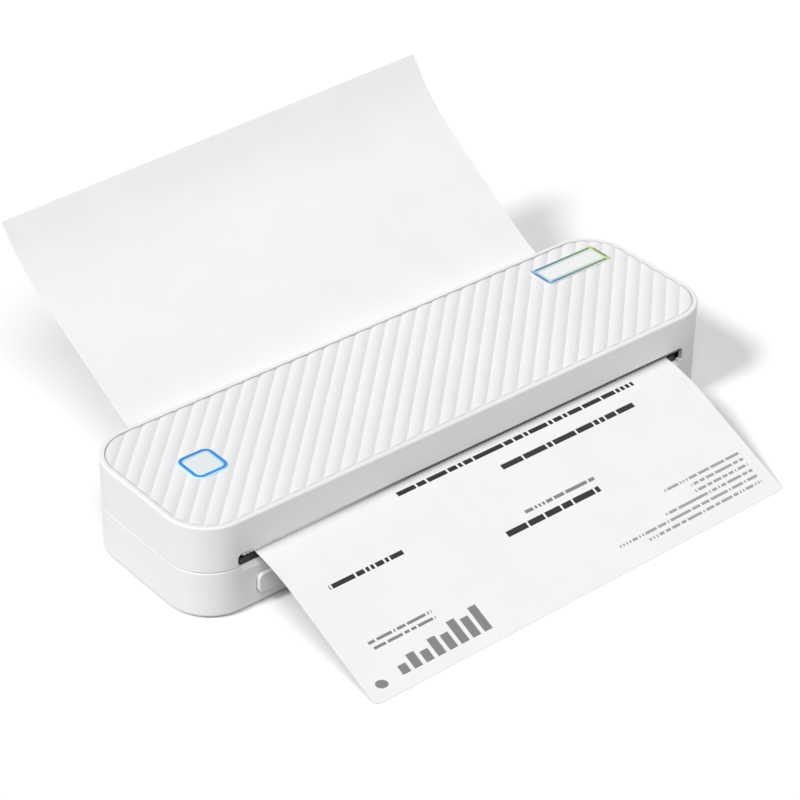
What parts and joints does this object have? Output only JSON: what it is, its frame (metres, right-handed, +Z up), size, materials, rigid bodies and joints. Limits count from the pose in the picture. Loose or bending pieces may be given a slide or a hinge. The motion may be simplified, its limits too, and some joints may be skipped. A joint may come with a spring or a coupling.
{
  "type": "portable thermal printer",
  "caption": "Slim rounded white thermal printer with a ribbed hinged cover, lit power button, release bar and a sheet of paper running through it.",
  "frame": {"origin": "on the desk, under the centre of the printer's footprint", "axes": "+X along the printer's length towards the charging socket, -Y towards the front where the print comes out, +Z up"},
  "size_m": [0.263, 0.2356, 0.0928],
  "materials": {
    "white_casing": "fine satin white ABS",
    "ribbed_panel": "satin white with moulded slanting ribs",
    "badge_face": "bare glossy plate with a printed blue to green edge",
    "ring_light": "blue translucent light guide",
    "button_cap": "smooth pale cap",
    "foot_rubber": "grey silicone",
    "label_film": "blank film plate",
    "black_plastic": "black moulded plastic",
    "latch_plastic": "dark grey acetal",
    "white_nylon": "natural acetal",
    "screw_steel": "blackened steel screws",
    "pin_steel": "ground steel pins",
    "shaft_steel": "ground steel shaft",
    "spring_steel": "wire springs",
    "sheet_steel": "zinc plated sheet steel",
    "bar_steel": "satin steel tear bar",
    "motor_can": "plated motor can",
    "socket_metal": "plated socket shell",
    "pinion_brass": "brass pinion and shaft",
    "head_aluminium": "extruded aluminium heat sink",
    "head_ceramic": "glazed heater strip",
    "platen_rubber": "black silicone rubber",
    "thermal_paper": "smooth white coated paper",
    "cell_wrap": "blue shrink wrap",
    "circuit_board": "green solder mask",
    "chip_black": "black moulded packages",
    "flat_cable": "amber flat cable"
  },
  "bodies": {
    "base": {"base_shell": "white_casing", "rubber_feet": "foot_rubber", "bottom_label": "label_film", "hinge_pins": "pin_steel", "lower_guide": "black_plastic", "case_screws": "screw_steel", "exit_guide": "black_plastic", "paper_sheet": "thermal_paper", "gear_bracket": "sheet_steel", "head_bracket": "sheet_steel", "bracket_screws": "screw_steel", "stepper_motor": "motor_can", "gear_axle": "pin_steel", "battery_cells": "cell_wrap", "battery_cradle": "black_plastic", "main_board": "circuit_board", "board_parts": "chip_black", "usb_socket": "socket_metal", "paper_sensor": "chip_black", "cover_switch": "chip_black", "head_springs": "spring_steel", "head_cable": "flat_cable", "latch_springs": "spring_steel"},
    "cover": {"cover_shell": "white_casing", "top_panel": "ribbed_panel", "badge_plate": "badge_face", "light_ring": "ring_light", "button_board": "circuit_board", "button_switch": "chip_black", "platen_carrier": "black_plastic", "cover_screws": "screw_steel", "tear_bar": "bar_steel", "platen_bushings": "white_nylon"},
    "platen": {"platen_shaft": "shaft_steel", "platen_rubber": "platen_rubber", "platen_gear": "white_nylon"},
    "power_button": {"power_button": "button_cap"},
    "release_latch": {"release_button": "white_casing", "latch_bar": "latch_plastic"},
    "print_head": {"head_ceramic": "head_ceramic", "head_heatsink": "head_aluminium", "head_pivots": "pin_steel"},
    "compound_gear": {"compound_gear": "white_nylon"},
    "motor_rotor": {"motor_pinion": "pinion_brass"}
  },
  "joints": [
    {"name": "cover_hinge", "type": "hinge", "parent": "base", "child": "cover", "pos_m": [0, 0.035, 0.0372], "axis": [-1, 0, 0], "range_deg": [0, 75]},
    {"name": "platen_spin", "type": "hinge", "parent": "cover", "child": "platen", "pos_m": [0, -0.026, 0.03146], "axis": [1, 0, 0], "continuous": true},
    {"name": "power_press", "type": "slide", "parent": "cover", "child": "power_button", "axis": [0, 0, -1], "range_m": [0, 0.0006], "stiffness_N_per_m": 400},
    {"name": "release_press", "type": "slide", "parent": "base", "child": "release_latch", "axis": [0, 1, 0], "range_m": [0, 0.0014], "stiffness_N_per_m": 500, "deforming": ["latch_springs"]},
    {"name": "head_float", "type": "hinge", "parent": "base", "child": "print_head", "pos_m": [0, -0.0164, 0.0228], "axis": [1, 0, 0], "range_deg": [0, 1.2], "stiffness_Nm_per_rad": 0.25, "springref_deg": -5.73, "deforming": ["head_springs", "head_cable"]},
    {"name": "compound_spin", "type": "hinge", "parent": "base", "child": "compound_gear", "pos_m": [0, -0.0251, 0.02195], "axis": [1, 0, 0], "continuous": true},
    {"name": "motor_spin", "type": "hinge", "parent": "base", "child": "motor_rotor", "pos_m": [0, -0.01892, 0.0122], "axis": [1, 0, 0], "continuous": true}
  ],
  "couplings": [
    {"joint": "compound_spin", "follows": "platen_spin", "ratio": -1.7143},
    {"joint": "motor_spin", "follows": "platen_spin", "ratio": 4.8571}
  ]
}
